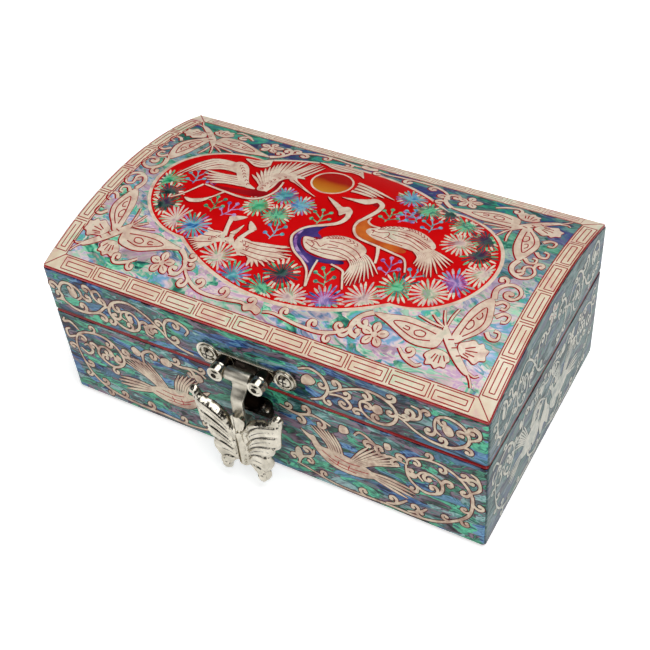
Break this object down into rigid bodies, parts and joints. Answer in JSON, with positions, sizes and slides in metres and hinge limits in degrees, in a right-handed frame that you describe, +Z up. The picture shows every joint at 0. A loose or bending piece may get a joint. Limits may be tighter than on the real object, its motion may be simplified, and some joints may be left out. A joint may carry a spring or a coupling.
{
  "type": "jewellery box",
  "caption": "Lacquered jewellery box with an arched, back-hinged lid, shell inlay, a swinging butterfly clasp, velvet bays and a lid mirror.",
  "frame": {"origin": "middle of the felt underside, under the middle of the box and without the clasp and hinges", "axes": "+X along the front to the right of someone facing it, -Y out of the front where the clasp is, +Z up"},
  "size_m": [0.21, 0.1468, 0.089],
  "materials": {
    "red_lacquer": "gloss red lacquer",
    "felt": "black felt",
    "abalone_shell": "iridescent abalone shell under clear lacquer",
    "pale_pearl": "pale mother-of-pearl under clear lacquer",
    "amber_lacquer": "amber to red gloss lacquer",
    "velvet": "deep red velvet",
    "padded_velvet": "deep red velvet over foam",
    "mirror_glass": "silvered, bevelled edge",
    "nickel": "polished nickel, cast"
  },
  "bodies": {
    "base": {"base_back_board": "red_lacquer", "base_back_veneer": "abalone_shell", "base_bottom_board": "red_lacquer", "base_felt": "felt", "base_front_board": "red_lacquer", "base_front_veneer": "abalone_shell", "base_left_board": "red_lacquer", "base_left_veneer": "abalone_shell", "base_right_board": "red_lacquer", "base_right_veneer": "abalone_shell", "catch_plate": "nickel", "catch_screws": "nickel", "divider_cross": "velvet", "divider_long": "velvet", "hinge_base_screws": "nickel", "hinge_left_base_leaf": "nickel", "hinge_left_pin": "nickel", "hinge_right_base_leaf": "nickel", "hinge_right_pin": "nickel", "lining_back": "velvet", "lining_floor": "velvet", "lining_front": "velvet", "lining_left": "velvet", "lining_right": "velvet", "ring_roll_1": "padded_velvet", "ring_roll_2": "padded_velvet", "ring_roll_3": "padded_velvet", "ring_roll_4": "padded_velvet", "ring_roll_5": "padded_velvet"},
    "lid": {"cartouche_panel": "red_lacquer", "cartouche_rim": "pale_pearl", "clasp_pin": "nickel", "hinge_left_lid_leaf": "nickel", "hinge_lid_screws": "nickel", "hinge_right_lid_leaf": "nickel", "latch_plate": "nickel", "latch_screws": "nickel", "lid_back_board": "red_lacquer", "lid_back_veneer": "abalone_shell", "lid_border_back": "pale_pearl", "lid_border_front": "pale_pearl", "lid_border_left": "pale_pearl", "lid_border_right": "pale_pearl", "lid_front_board": "red_lacquer", "lid_front_veneer": "abalone_shell", "lid_left_board": "red_lacquer", "lid_left_veneer": "abalone_shell", "lid_lining": "velvet", "lid_right_board": "red_lacquer", "lid_right_veneer": "abalone_shell", "lid_shell_field": "abalone_shell", "lid_top_board": "red_lacquer", "mirror": "mirror_glass", "sun_disc": "amber_lacquer", "sun_ring": "pale_pearl"},
    "clasp": {"clasp_butterfly": "nickel", "clasp_tongue": "nickel"}
  },
  "joints": [
    {"name": "lid_hinge", "type": "hinge", "parent": "base", "child": "lid", "pos_m": [0, 0.0646, 0.052], "axis": [-1, 0, 0], "range_deg": [0, 95]},
    {"name": "clasp_pivot", "type": "hinge", "parent": "lid", "child": "clasp", "pos_m": [-0.0015, -0.0689, 0.0607], "axis": [-1, 0, 0], "range_deg": [-6, 110]}
  ]
}
